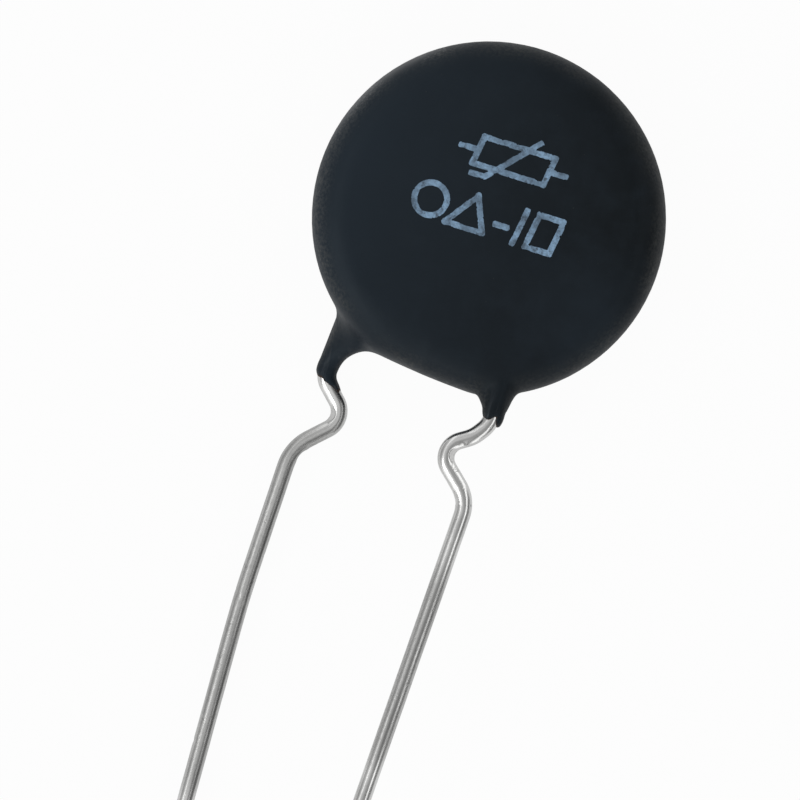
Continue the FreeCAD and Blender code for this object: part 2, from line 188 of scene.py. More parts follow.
class Tree:
    """Short ways to add and link the nodes of one tree."""

    def __init__(self, tree):
        self.tree = tree

    def add(self, kind, inputs=None, **properties):
        node = self.tree.nodes.new(kind)
        for name, value in properties.items():
            setattr(node, name, value)
        for key, value in (inputs or {}).items():
            if isinstance(value, bpy.types.NodeSocket):
                self.tree.links.new(value, node.inputs[key])
            else:
                node.inputs[key].default_value = value
        return node

    def math(self, operation, first, second=0.0):
        return self.add("ShaderNodeMath", {0: first, 1: second}, operation=operation).outputs[0]

    def times(self, first, second):
        return self.math("MULTIPLY", first, second)

    def vector(self, operation, first, second):
        """Vector maths: a product's vector, or the number that the others give."""
        node = self.add("ShaderNodeVectorMath", {0: first, 1: second}, operation=operation)
        return node.outputs["Vector" if operation == "MULTIPLY" else "Value"]

    def split(self, vector):
        return self.add("ShaderNodeSeparateXYZ", {0: vector}).outputs

    def noise(self, place, scale, detail=3.0, roughness=0.5, seed=0.0):
        node = self.add("ShaderNodeTexNoise", {"Vector": place, "W": seed, "Scale": scale,
                                               "Detail": detail, "Roughness": roughness},
                        noise_dimensions="4D")
        return node.outputs["Fac"]

    def ramp(self, value, *stops):
        """A colour ramp from (place, grey or colour) stops."""
        node = self.add("ShaderNodeValToRGB", {0: value})
        points = node.color_ramp.elements
        while len(points) < len(stops):
            points.new(0.5)
        for point, (place, colour) in zip(points, stops):
            point.position = place
            if isinstance(colour, (int, float)):
                colour = (colour,) * 3
            point.color = (*colour, 1.0)
        return node.outputs["Color"]

    def mix(self, share, first, second):
        node = self.add("ShaderNodeMix", {0: share}, data_type="RGBA")
        for socket, value in ((node.inputs[6], first), (node.inputs[7], second)):
            if isinstance(value, bpy.types.NodeSocket):
                self.tree.links.new(value, socket)
            else:
                socket.default_value = (*value, 1.0) if len(value) == 3 else value
        return node.outputs[2]

    def between(self, value, low, high, start=0.0, end=1.0, **properties):
        node = self.add("ShaderNodeMapRange", {"Value": value, "From Min": low, "From Max": high,
                                               "To Min": start, "To Max": end}, **properties)
        return node.outputs["Result"]

    def bump(self, height, distance, strength=1.0, normal=None):
        inputs = {"Strength": strength, "Distance": distance, "Height": height}
        if normal is not None:
            inputs["Normal"] = normal
        return self.add("ShaderNodeBump", inputs).outputs["Normal"]

    def carried(self, name, output="Fac"):
        """An attribute of the mesh, for a material."""
        return self.add("ShaderNodeAttribute", attribute_name=name).outputs[output]

    def read(self, name, kind="FLOAT"):
        """An attribute of the mesh, for Geometry Nodes."""
        return self.add("GeometryNodeInputNamedAttribute", {"Name": name},
                        data_type=kind).outputs["Attribute"]

    def store(self, geometry, name, value, kind="FLOAT"):
        return self.add("GeometryNodeStoreNamedAttribute",
                        {"Geometry": geometry, "Name": name, "Value": value},
                        data_type=kind, domain="POINT").outputs["Geometry"]

    def finish(self, geometry, normal, lift, material):
        """Lifts the points along their normals and ends the Geometry Nodes tree."""
        offset = self.add("ShaderNodeVectorMath", {0: normal, "Scale": lift}, operation="SCALE")
        for kind, inputs in (("GeometryNodeSetPosition", {"Offset": offset.outputs["Vector"]}),
                             ("GeometryNodeSetShadeSmooth", {}),
                             ("GeometryNodeRealizeInstances", {}),
                             ("GeometryNodeSetMaterial", {"Material": material})):
            geometry = self.add(kind, {"Geometry": geometry, **inputs}).outputs["Geometry"]
        self.add("NodeGroupOutput", {"Geometry": geometry})
        return self.tree


def node_group(name, numbers):
    """A Geometry Nodes tree that takes a geometry and the named numbers, and what comes in."""
    group = bpy.data.node_groups.new(name, "GeometryNodeTree")
    face = group.interface
    for way in ("INPUT", "OUTPUT"):
        face.new_socket("Geometry", in_out=way, socket_type="NodeSocketGeometry")
    for number, default in numbers.items():
        socket = face.new_socket(number, in_out="INPUT", socket_type="NodeSocketFloat")
        socket.default_value = default
    tree = Tree(group)
    return tree, tree.add("NodeGroupInput").outputs


def shade(colour, share, lift=0.0):
    """A darker or paler form of a colour."""
    return [c * share + lift for c in colour]


def new_material(name):
    """A material with a Principled shader, its tree helper and its object coordinates."""
    material = bpy.data.materials.new(name)
    material.use_nodes = True
    tree = Tree(material.node_tree)
    shader = material.node_tree.nodes["Principled BSDF"]
    place = tree.add("ShaderNodeTexCoord").outputs["Object"]
    return material, tree, shader, place


def feed(tree, shader, **sockets):
    """Links or sets the shader's inputs, named in lower case with underscores."""
    for name, value in sockets.items():
        socket = shader.inputs[name.replace("_", " ").title().replace("Ior", "IOR")]
        if isinstance(value, bpy.types.NodeSocket):
            tree.tree.links.new(value, socket)
        elif isinstance(value, (tuple, list)) and len(value) == 3:
            socket.default_value = (*value, 1.0)
        else:
            socket.default_value = value


# ---- Materials ----


def resin_material(colour):
    """Cured silicone resin: blue-black, satin and mottled, brown where it thins out, with painted
    light: lighter towards -X, a painted sheen patch and a painted highlight round the rim.
    """
    material, tree, shader, place = new_material("cured_resin")
    across, along, _up = tree.split(place)
    normal_up = tree.split(tree.add("ShaderNodeNewGeometry").outputs["Normal"])[2]
    slow = tree.noise(place, 190.0, 3.0, 0.55, 1.7)
    patchy = tree.noise(place, 420.0, 2.0, 0.5, 7.9)
    stain = tree.noise(place, 520.0, 3.0, 0.6, 15.7)
    mottle = tree.noise(place, 900.0, 4.0, 0.6, 5.2)
    pits = tree.noise(place, 2300.0, 2.0, 0.5, 6.4)
    speck = tree.noise(place, 5200.0, 2.0, 0.5, 9.1)
    sheen_grain = tree.noise(place, 6800.0, 4.0, 0.7, 12.3)
    grain = tree.noise(place, 7600.0, 3.0, 0.6, 3.3)
    runs = tree.noise(tree.vector("MULTIPLY", place, (1.0, 0.10, 1.0)), 3800.0, 2.0, 0.5, 4.6)

    # Painted light: the resin is painted lighter towards the rear lead's side (-X), standing in
    # for the key lamp's fall-off across the face
    drift = tree.math("ADD", across, tree.times(slow, 5 * MM))
    painted_falloff = tree.between(drift, 8 * MM, -5.5 * MM)
    tone = tree.mix(painted_falloff, shade(colour, 0.45), shade(colour, 1.9))
    tone = tree.mix(tree.between(mottle, 0.45, 0.75, 0.0, 0.35), tone,
                    shade(colour, 1.7, 0.0008))
    tone = tree.mix(tree.between(speck, 0.71, 0.75, 0.0, 0.5), tone, (0.03, 0.032, 0.033))

    # Painted sheen: a paler patch is painted on the rim's +X side, standing in for a satin sheen
    painted_sheen = tree.vector("DISTANCE", place, SHEEN_SPOT)
    painted_sheen = tree.times(tree.between(painted_sheen, 4.4 * MM, 1.2 * MM, 0.0, 0.6),
                         tree.between(patchy, 0.3, 0.6, 0.5, 1.0))
    tone = tree.mix(painted_sheen, tone, shade(colour, 1.7))

    # Painted highlight: the rim's round is painted paler in fine grains, most on the rear lead's
    # side, standing in for the grazing sheen there
    rear_side = tree.between(across, -4.5 * MM, -7.5 * MM)
    patches = tree.math("MAXIMUM", tree.between(patchy, 0.38, 0.62, 0.25, 1.0),
                        tree.times(rear_side, 0.7))
    edge = tree.times(tree.between(normal_up, 0.90, 0.50), patches)
    edge = tree.times(edge, tree.between(sheen_grain, 0.40, 0.68))
    # The painted rim highlight is left out of the hollow beside the rear web
    hollow = tree.vector("DISTANCE", place, HIGHLIGHT_FREE_HOLLOW)
    edge = tree.times(edge, tree.between(hollow, 1.1 * MM, 2.4 * MM))
    pale = tree.mix(rear_side, (0.052, 0.053, 0.050), (0.092, 0.094, 0.092))
    # Painted highlight: the rim's corner at the back on that side is painted palest, standing in
    # for a grazing reflection
    rubbed_and_glint = tree.between(tree.vector("DOT_PRODUCT", place, GLINT_WAY), 6.9 * MM, 7.9 * MM)
    rubbed_and_glint = tree.times(rubbed_and_glint, tree.between(normal_up, 0.75, 0.35))
    rubbed_and_glint = tree.times(rubbed_and_glint, tree.between(normal_up, -0.05, 0.12))
    pale = tree.mix(rubbed_and_glint, pale, (0.240, 0.245, 0.250))
    edge = tree.math("MAXIMUM", tree.times(edge, 0.9), tree.times(rubbed_and_glint, 0.36))
    tone = tree.mix(edge, tone, pale)

    # Brown blotches are mixed in where the surface faces sideways or down
    side = tree.times(tree.between(normal_up, 0.25, 0.0),
                      tree.between(stain, 0.50, 0.70, 0.0, 0.35))
    tone = tree.mix(side, tone, (0.040, 0.022, 0.012))
    # Runs go down the necks, which end in a brown film
    runs = tree.times(tree.between(runs, 0.52, 0.66), tree.between(along, -7.4 * MM, -8.2 * MM))
    tone = tree.mix(tree.times(runs, 0.45), tone, (0.040, 0.045, 0.052))
    tone = tree.mix(tree.between(tree.carried("thin_resin"), 0.35, 1.0), tone,
                    (0.05, 0.022, 0.008))

    rough = tree.between(mottle, 0.3, 0.7, 0.42, 0.52)
    rough = tree.math("ADD", rough, tree.between(speck, 0.55, 0.75, 0.0, 0.06))
    rough = tree.math("SUBTRACT", rough, tree.times(runs, 0.12))
    normal = tree.bump(grain, 0.0045 * MM, 0.7, tree.bump(pits, 0.010 * MM, 0.6))
    feed(tree, shader, base_color=tone, roughness=rough, normal=normal, ior=1.41,
         specular_ior_level=0.22, specular_tint=(0.84, 0.95, 1.0))
    return material


def tin_material(colour):
    """Bright tin over copper wire: drawn lines along it, soft dull patches and fine nicks."""
    material, tree, shader, _place = new_material("bright_tin")
    wire = tree.carried("wire_place", "Vector")
    drawn = tree.vector("MULTIPLY", wire, (1.0, 1.0, 0.035))
    lines = tree.noise(drawn, 4200.0, 5.0, 0.62, 2.4)
    broad = tree.noise(drawn, 1500.0, 3.0, 0.55, 8.8)
    slow = tree.noise(wire, 170.0, 2.0, 0.5, 1.6)
    cloud = tree.noise(wire, 620.0, 4.0, 0.6, 4.9)
    nicks = tree.noise(wire, 2600.0, 3.0, 0.6, 7.7)
    frost = tree.noise(wire, 5200.0, 3.0, 0.6, 3.1)
    tone = tree.mix(tree.between(broad, 0.35, 0.7), shade(colour, 0.86), list(colour))
    tone = tree.mix(tree.between(lines, 0.46, 0.62, 0.0, 0.55), tone, shade(colour, 0.45))
    tone = tree.mix(tree.between(frost, 0.45, 0.65, 0.0, 0.30), tone, shade(colour, 0.5))
    # Handling dulled the wire, except where it was left bright
    shine = tree.times(tree.carried("bright"), tree.between(cloud, 0.35, 0.6, 0.5, 1.0))
    dull = tree.math("SUBTRACT", 1.0, shine)
    tone = tree.mix(tree.times(shine, 0.75), tone, (0.93, 0.93, 0.92))
    tone = tree.mix(tree.between(slow, 0.42, 0.60, 0.0, 0.25), tone, shade(colour, 0.6))
    tone = tree.mix(tree.between(nicks, 0.64, 0.72, 0.0, 0.7), tone, shade(colour, 0.38))
    worn = tree.times(tree.carried("dull_streak"), tree.between(slow, 0.35, 0.62, 1.0, 0.6))
    tone = tree.mix(worn, tone, shade(colour, 0.20))
    rough = tree.between(cloud, 0.35, 0.65, 0.12, 0.22)
    rough = tree.math("ADD", rough, tree.times(dull, 0.10))
    rough = tree.math("ADD", rough, tree.between(lines, 0.4, 0.7, 0.0, 0.10))
    normal = tree.bump(lines, 0.006 * MM, 0.8)
    normal = tree.bump(tree.between(nicks, 0.60, 0.70), -0.008 * MM, 0.7, normal)
    feed(tree, shader, base_color=tone, metallic=1.0, roughness=rough, normal=normal)
    return material


def ink_material(colour):
    """Pale blue-grey marking ink, thin and mottled where it has rubbed."""
    material, tree, shader, place = new_material("marking_ink")
    rubbed_and_glint = tree.noise(place, 3300.0, 5.0, 0.65, 2.2)
    patch = tree.noise(place, 1300.0, 3.0, 0.55, 6.8)
    fine = tree.noise(place, 9500.0, 3.0, 0.6, 4.4)
    tone = tree.mix(tree.between(patch, 0.38, 0.60), shade(colour, 0.62), shade(colour, 1.36))
    tone = tree.mix(tree.between(fine, 0.42, 0.62, 0.0, 0.55), tone, shade(colour, 0.50))
    tone = tree.mix(tree.between(rubbed_and_glint, 0.50, 0.66, 0.0, 0.85), tone, shade(colour, 0.16))
    normal = tree.bump(rubbed_and_glint, 0.004 * MM, 0.7)
    feed(tree, shader, base_color=tone, roughness=0.62, normal=normal)
    return material


def ceramic_material():
    """Sintered metal oxide: charcoal, matt, with pressed grains and fine pores."""
    material, tree, shader, place = new_material("sintered_oxide")
    grains = tree.add("ShaderNodeTexVoronoi", {"Vector": place, "Scale": 7000.0})
    pores = tree.noise(place, 5200.0, 4.0, 0.6, 3.9)
    tone = tree.mix(tree.between(grains.outputs["Distance"], 0.1, 0.7), (0.028, 0.026, 0.025),
                    (0.055, 0.052, 0.050))
    tone = tree.mix(tree.between(pores, 0.60, 0.68, 0.0, 0.8), tone, (0.010, 0.009, 0.009))
    normal = tree.bump(pores, -0.010 * MM, 0.8)
    feed(tree, shader, base_color=tone, roughness=0.78, normal=normal)
    return material


def silver_material():
    """Fired silver paste: pale, satin, with the weave of the screen it was printed through."""
    material, tree, shader, place = new_material("fired_silver_film")
    across, along, _up = tree.split(place)
    pitch = 31400.0
    weave = tree.times(tree.math("SINE", tree.times(across, pitch)),
                       tree.math("SINE", tree.times(along, pitch)))
    cloud = tree.noise(place, 700.0, 4.0, 0.6, 1.1)
    tone = tree.mix(tree.between(cloud, 0.3, 0.7), (0.70, 0.69, 0.66), (0.86, 0.85, 0.82))
    rough = tree.between(cloud, 0.3, 0.7, 0.34, 0.52)
    normal = tree.bump(weave, 0.003 * MM, 0.6)
    feed(tree, shader, base_color=tone, metallic=1.0, roughness=rough, normal=normal)
    return material


def solder_material():
    """Tin solder as it froze: bright, with dull frosted patches and a faint ripple."""
    material, tree, shader, place = new_material("frozen_solder")
    frost = tree.noise(place, 1500.0, 5.0, 0.6, 4.2)
    ripple = tree.noise(place, 800.0, 2.0, 0.5, 8.1)
    tone = tree.mix(tree.between(frost, 0.4, 0.65), (0.74, 0.74, 0.75), (0.55, 0.55, 0.56))
    rough = tree.between(frost, 0.35, 0.65, 0.16, 0.42)
    normal = tree.bump(ripple, 0.02 * MM, 0.5)
    feed(tree, shader, base_color=tone, metallic=1.0, roughness=rough, normal=normal)
    return material


# ---- Helpers for pieces ----


def settings(name):
    return getattr(bpy.context.scene, name)


def new_object(name, mesh):
    piece = bpy.data.objects.new(name, mesh)
    bpy.context.scene.collection.objects.link(piece)
    return piece


def plain_mesh(piece, name):
    """The piece with its modifiers worked in, as a new object. The first one is removed."""
    graph = bpy.context.evaluated_depsgraph_get()
    mesh = bpy.data.meshes.new_from_object(piece.evaluated_get(graph))
    bpy.data.objects.remove(piece)
    mesh.name = name
    return new_object(name, mesh)


def places(mesh):
    """The mesh's points as an array."""
    found = np.empty(len(mesh.vertices) * 3)
    mesh.vertices.foreach_get("co", found)
    return found.reshape(-1, 3)


def set_places(mesh, points):
    mesh.vertices.foreach_set("co", points.ravel())
    mesh.update()


def surface_of(*objects):
    """One search tree over the faces of several objects."""
    points, faces = [], []
    for thing in objects:
        start = len(points)
        points += [v.co.copy() for v in thing.data.vertices]
        faces += [[start + i for i in p.vertices] for p in thing.data.polygons]
    return BVHTree.FromPolygons(points, faces)


def seat(piece, slot, *nodes):
    """Hangs the finished piece on the body's empty and hides the CAD nodes it stands for; slot is
    not used.
    """
    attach(piece, BODY)
    if nodes:
        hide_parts(*nodes)


# ---- Routes of the leads ----


def towards(heading):
    """Unit vector of a heading, in degrees from straight down (-Y) towards +X."""
    angle = math.radians(heading)
    return Vector((math.sin(angle), -math.cos(angle), 0.0))


def lead_height(side):
    low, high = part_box(f"{side}_lead")
    return (low.z + high.z) / 2


def lead_route(side, step=0.1 * MM):
    """Points along a lead's centre line, close together, with where each bend starts and ends."""
    route = LEADS[side]
    height = lead_height(side)
    heading = route["heading"]
    corner = Vector((*route["first_bend"], 0.0)) * MM
    length = (LEAD_TOP * MM - corner.y) / math.cos(math.radians(heading))
    start = corner - towards(heading) * length
    points, marks = [start], []

    def run(length):
        count = max(1, round(length / step))
        base = points[-1]
        points.extend(base + towards(heading) * (length * i / count) for i in range(1, count + 1))

    run(length)
    for following, radius, straight in route["bends"]:
        radius *= MM
        turn = math.radians(following - heading)
        way = 1 if turn > 0 else -1
        base = points[-1]
        ahead = towards(heading)
        centre = base + Vector((-ahead.y, ahead.x, 0.0)) * (way * radius)
        count = max(4, round(abs(turn) * radius / step))
        first = len(points) - 1
        for i in range(1, count + 1):
            spoke = Matrix.Rotation(turn * i / count, 3, "Z") @ (base - centre)
            points.append(centre + spoke)
        marks.append((first, len(points) - 1, way))
        heading = following
        if straight is None:
            run((points[-1].y - LEAD_CUT * MM) / math.cos(math.radians(heading)))
        else:
            run(straight * MM)
    return [Vector((p.x, p.y, height)) for p in points], marks


# ---- Resin skin ----


def outer_skin():
    """The coating's CAD form without the faces that touch what it was dipped over, closed."""
    skin = bmesh.new()
    skin.from_mesh(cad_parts["resin_coating"].data)
    bmesh.ops.remove_doubles(skin, verts=skin.verts, dist=0.0005 * MM)
    inside = surface_of(*(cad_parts[n] for n in INNER_NODES),
                        *(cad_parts[f"{side}_lead"] for side in LEADS))
    touching = []
    for face in skin.faces:
        _place, normal, _index, gap = inside.find_nearest(face.calc_center_median())
        if gap < 0.02 * MM and abs(normal.dot(face.normal)) > 0.6:
            touching.append(face)
    bmesh.ops.delete(skin, geom=touching, context="FACES")
    # Slivers that were cut off from the skin go with the faces that touched
    parts, seen = [], set()
    for first in skin.faces:
        if first in seen:
            continue
        seen.add(first)
        part, queue = [], [first]
        while queue:
            face = queue.pop()
            part.append(face)
            for edge in face.edges:
                for other in edge.link_faces:
                    if other not in seen:
                        seen.add(other)
                        queue.append(other)
        parts.append(part)
    parts.sort(key=len)
    bmesh.ops.delete(skin, geom=[f for part in parts[:-1] for f in part], context="FACES")
    bmesh.ops.delete(skin, geom=[v for v in skin.verts if not v.link_faces], context="VERTS")
    # The two mouths round the leads are closed with a fan each, out of sight inside the wires
    rims = [e for e in skin.edges if e.is_boundary]
    for end in NECK_ENDS.values():
        corner = Vector((*end["point"], 0.0)) * MM
        mouth = [e for e in rims if abs(e.verts[0].co.x - corner.x) < 2 * MM]
        hub = skin.verts.new(sum((e.verts[0].co + e.verts[1].co for e in mouth), Vector())
                             / (2 * len(mouth)))
        for edge in mouth:
            skin.faces.new((*edge.verts, hub))
    bmesh.ops.recalc_face_normals(skin, faces=skin.faces)
    mesh = bpy.data.meshes.new("resin_skin")
    skin.to_mesh(mesh)
    skin.free()
    return new_object("resin_skin_form", mesh)


def smooth_step(values, low, high):
    share = np.clip((values - low) / (high - low), 0.0, 1.0)
    return share * share * (3 - 2 * share)


def soften_seams(piece, rounds):
    """Rounds the creases where the webs meet the disc, as the wet resin did."""
    points = places(piece.data)
    on_webs = 1 - smooth_step(points[:, 1], -6.4 * MM, -4.6 * MM)
    necks = smooth_step(points[:, 1], -8.75 * MM, -8.15 * MM)
    # The front web stayed crisper than the rear one
    necks *= np.where(points[:, 0] < -1 * MM, 1.0, 0.12)
    group = piece.vertex_groups.new(name="seams")
    for index in np.nonzero(on_webs * necks > 0.01)[0]:
        group.add([int(index)], float(on_webs[index] * necks[index]), "REPLACE")
    softener = piece.modifiers.new("Seams", "SMOOTH")
    softener.factor = 0.5
    softener.iterations = rounds
    softener.vertex_group = "seams"


def end_line(side, angle):
    """How far the resin's ragged end reaches down the lead at an angle round it."""
    turned = Vector((math.cos(angle), math.sin(angle), 0.0)) * 1.4
    coarse_seed, fine_seed = NECK_ENDS[side]["seeds"]
    ragged = noise.noise(turned + Vector((0.0, 0.0, coarse_seed)))
    fine = noise.noise(turned * 3.1 + Vector((0.0, 0.0, fine_seed)))
    # The rear one stops higher on the side towards the front lead, the front one on its face
    if side == "rear":
        pulled = 0.30 * max(0.0, math.cos(angle))
    else:
        pulled = 0.36 * math.exp(-((angle - 1.2) / 0.6) ** 2)
    return (0.10 * ragged + 0.045 * fine - pulled) * MM


def feather_necks(piece, radius):
    """Keeps a wall of resin over the leads, and thins it out to nothing along a ragged line."""
    mesh = piece.data
    points = places(mesh)
    thin = np.zeros(len(points), np.float32)
    for side, end in NECK_ENDS.items():
        route, _marks = lead_route(side, 0.05 * MM)
        line = np.array([p[:] for p in route if NECK_SPAN[0] * MM < p.y < NECK_SPAN[1] * MM])
        slant = math.radians(end["slant"])
        along = np.array((math.sin(slant), -math.cos(slant), 0.0))
        corner = np.array((*end["point"], 0.0)) * MM
        close = np.nonzero((points[:, 1] > line[-1][1]) & (points[:, 1] < line[0][1])
                           & (np.abs(points[:, 0] - corner[0]) < NECK_REACH * MM))[0]
        gaps = np.linalg.norm(points[close][:, None] - line[None], axis=2)
        for index, axis, distance in zip(close, line[gaps.argmin(axis=1)], gaps.min(axis=1)):
            spoke = points[index] - axis
            if distance < NECK_DEPTHS[0] * MM or distance > NECK_DEPTHS[1] * MM:
                continue
            angle = math.atan2(spoke[2], spoke[0])
            above = -(points[index] - corner) @ along + end_line(side, angle) + 0.05 * MM
            if above > FEATHER_START * MM:
                if distance < radius + LEAST_WALL * MM:
                    points[index] = axis + spoke * ((radius + LEAST_WALL * MM) / distance)
                continue
            wall = (distance - radius) * (1 - math.exp(-max(0.0, above) / (FEATHER_RUN * MM)))
            if above < 0:
                wall = min(wall, above * 0.5)
            wall = max(wall, -FEATHER_SINK * MM)
            if distance > radius * 0.75:
                points[index] = axis + spoke * ((radius + wall) / distance)
            thin[index] = max(0.0, 1 - max(wall, 0.0) / (BROWN_WALL * MM))
    set_places(mesh, points)
    attribute = mesh.attributes.new("thin_resin", "FLOAT", "POINT")
    attribute.data.foreach_set("value", thin)


def skin_tree(material):
    """Geometry Nodes: slow swells and small dust bumps, lifted along the normal."""
    tree, given = node_group("ResinSwells", {"Waviness": 0.022 * MM, "Swell Scale": 260.0,
                                             "Grit": 0.010 * MM, "Seed": 4.0})
    place = tree.add("GeometryNodeInputPosition").outputs[0]
    normal = tree.add("GeometryNodeInputNormal").outputs[0]
    swell = tree.noise(place, given["Swell Scale"], 2.0, seed=given["Seed"])
    lift = tree.times(tree.math("SUBTRACT", swell, 0.52), given["Waviness"])
    lift = tree.times(lift, 2.0)
    grit = tree.noise(place, 2600.0, 1.0, seed=given["Seed"])
    lift = tree.math("ADD", lift, tree.between(grit, 0.70, 0.78, 0.0, given["Grit"]))
    # The flat back that it lies on, and the widest points, keep the CAD's size
    rest = tree.between(tree.split(place)[2], 0.0, 0.25 * MM)
    lift = tree.math("MINIMUM", tree.times(lift, rest), 0.0)
    return tree.finish(given["Geometry"], normal, lift, material)


def set_input(modifier, name, value):
    """Sets a Geometry Nodes input by its socket's identifier."""
    items = modifier.node_group.interface.items_tree
    socket = next(i for i in items if i.item_type == "SOCKET" and i.in_out == "INPUT"
                  and i.name == name)
    modifier[socket.identifier] = value


class THERMISTOR_OT_coat(bpy.types.Operator):
    """Builds the dipped resin skin over the disc and down both leads"""
    bl_idname = "thermistor.coat"
    bl_label = "Resin coat"

    def execute(self, _context):
        chosen = settings("thermistor_coat")
        form = outer_skin()
        # The remesh takes no voxel this small, so it works on the form a thousand times larger
        form.data.transform(Matrix.Scale(1 / MM, 4))
        grain = form.modifiers.new("Grain", "REMESH")
        grain.mode = "VOXEL"
        grain.voxel_size = chosen.grain / MM
        form = plain_mesh(form, "resin_skin_grained")
        form.data.transform(Matrix.Scale(MM, 4))
        soften_seams(form, chosen.seam_rounds)
        form = plain_mesh(form, "resin_skin_softened")
        feather_necks(form, settings("thermistor_leads").diameter / 2)
        material = resin_material(chosen.colour)
        swells = form.modifiers.new("Swells", "NODES")
        swells.node_group = skin_tree(material)
        set_input(swells, "Waviness", chosen.waviness)
        piece = plain_mesh(form, "resin_skin")
        seat(piece, "coating_resin", "resin_coating")
        return {"FINISHED"}


# ---- Leads ----


def wire_tree(material):
    """Geometry Nodes: a round wire swept along the route, with crimps, scoring and nicks."""
    tree, given = node_group("TinnedWire", {
        "Radius": 0.4 * MM, "Crimp": 0.09 * MM, "Scoring": 0.007 * MM, "Wander": 0.014 * MM,
        "Seed": 1.0, "Streak Angle": 0.0, "Streak Width": 0.3, "Streak Dullness": 0.8})

    # Length along the route is stored before the sweep, and the angle round it on the ring
    route = tree.add("GeometryNodeMeshToCurve", {"Mesh": given["Geometry"]}).outputs["Curve"]
    route = tree.store(route, "along",
                       tree.add("GeometryNodeSplineParameter").outputs["Length"])
    ring = tree.add("GeometryNodeCurvePrimitiveCircle",
                    {"Resolution": WIRE_SIDES, "Radius": given["Radius"]}).outputs["Curve"]
    index = tree.add("GeometryNodeInputIndex").outputs[0]
    ring = tree.store(ring, "around", tree.times(index, math.tau / WIRE_SIDES))
    wire = tree.add("GeometryNodeCurveToMesh", {"Curve": route, "Profile Curve": ring,
                                                "Fill Caps": True}).outputs["Mesh"]

    # The place on the straightened wire, which every pattern reads
    angle = tree.read("around")
    aside = tree.times(tree.math("COSINE", angle), given["Radius"])
    up = tree.times(tree.math("SINE", angle), given["Radius"])
    shifted = tree.math("ADD", tree.read("along"), tree.times(given["Seed"], 0.1))
    straight = tree.add("ShaderNodeCombineXYZ", {0: aside, 1: up, 2: shifted}).outputs[0]
    wire = tree.store(wire, "wire_place", straight, "FLOAT_VECTOR")

    # The dull streak keeps to its angle round the wire
    normal = tree.add("GeometryNodeInputNormal").outputs[0]
    sideways = tree.vector("DOT_PRODUCT", normal, tree.read("sideways", "FLOAT_VECTOR"))
    round_it = tree.math("ARCTAN2", sideways, tree.split(normal)[2])
    away = tree.math("ABSOLUTE", tree.math("SUBTRACT", round_it, given["Streak Angle"]))
    dull = tree.between(away, given["Streak Width"], tree.times(given["Streak Width"], 0.25),
                        0.0, given["Streak Dullness"], interpolation_type="SMOOTHSTEP")
    wire = tree.store(wire, "dull_streak", dull)

    # Drawn lines, nicks and a slow wander only take away from the wire
    drawn = tree.vector("MULTIPLY", straight, (1.0, 1.0, 0.03))
    scoring = tree.noise(drawn, 3600.0, 2.0, seed=given["Seed"])
    dents = tree.noise(straight, 1300.0, 1.0, seed=given["Seed"])
    slow = tree.noise(straight, 620.0, 1.0, seed=given["Seed"])
    lift = tree.times(tree.math("SUBTRACT", scoring, 0.75), given["Scoring"])
    lift = tree.math("ADD", lift, tree.between(dents, 0.68, 0.80, 0.0, -0.035 * MM))
    wander = tree.times(tree.math("SUBTRACT", slow, 0.78), given["Wander"])
    lift = tree.math("ADD", lift, wander)
    # A press cuts the round off at a flat
    facing = tree.vector("DOT_PRODUCT", normal, tree.read("press", "FLOAT_VECTOR"))
    depth = tree.math("SUBTRACT", tree.times(facing, given["Radius"]),
                      tree.math("SUBTRACT", given["Radius"], given["Crimp"]))
    lift = tree.math("SUBTRACT", lift, tree.math("MAXIMUM", depth, 0.0))
    return tree.finish(wire, normal, lift, material)


def route_edges(side):
    """The route as a chain of edges, which carries where the forming tool pressed."""
    line, marks = lead_route(side)
    mesh = bpy.data.meshes.new(f"{side}_route")
    mesh.from_pydata(line, [(i, i + 1) for i in range(len(line) - 1)], [])
    ahead = np.gradient(np.array([p[:] for p in line]), axis=0)
    ahead /= np.linalg.norm(ahead, axis=1)[:, None]
    sideways = np.column_stack((-ahead[:, 1], ahead[:, 0], np.zeros(len(line))))
    press = np.zeros((len(line), 3), np.float32)
    up = np.array((0.0, 0.0, 1.0))
    for bend, share, tip in LEADS[side]["pressed"]:
        first, last, way = marks[bend]
        tip = math.radians(tip)
        for index in range(first, last + 1):
            weight = share * math.sin(math.pi * (index - first) / (last - first)) ** 0.5
            inward = sideways[index] * (way * math.cos(tip)) + up * math.sin(tip)
            press[index] = inward * weight
    heights = np.array([p.y for p in line]) / MM
    bright = np.zeros(len(line), np.float32)
    for top, bottom in LEADS[side]["bright"]:
        inside = smooth_step(heights, bottom - 0.8, bottom + 0.8)
        bright = np.maximum(bright, inside * (1 - smooth_step(heights, top - 0.8, top + 0.8)))
    attribute = mesh.attributes.new("bright", "FLOAT", "POINT")
    attribute.data.foreach_set("value", np.asarray(bright, np.float32))
    for name, vectors in ("press", press), ("sideways", sideways):
        attribute = mesh.attributes.new(name, "FLOAT_VECTOR", "POINT")
        attribute.data.foreach_set("vector", np.asarray(vectors, np.float32).ravel())
    return new_object(f"{side}_route", mesh)


class THERMISTOR_OT_leads(bpy.types.Operator):
    """Sweeps both tinned leads along their kinked routes"""
    bl_idname = "thermistor.leads"
    bl_label = "Tinned leads"

    def execute(self, _context):
        chosen = settings("thermistor_leads")
        tree = wire_tree(tin_material(chosen.colour))
        for seed, side in enumerate(LEADS, start=1):
            wire = route_edges(side)
            sweep = wire.modifiers.new("Wire", "NODES")
            sweep.node_group = tree
            angle, width, dullness = LEADS[side]["streak"]
            for name, value in (
                    ("Radius", chosen.diameter / 2), ("Crimp", chosen.crimp),
                    ("Scoring", chosen.scoring), ("Wander", chosen.wander), ("Seed", 3.7 * seed),
                    ("Streak Angle", math.radians(angle)), ("Streak Width", math.radians(width)),
                    ("Streak Dullness", dullness)):
                set_input(sweep, name, value)
            piece = plain_mesh(wire, f"tinned_{side}_lead")
            seat(piece, "tinned_wire", f"{side}_lead")
        return {"FINISHED"}


# ---- Marking ----


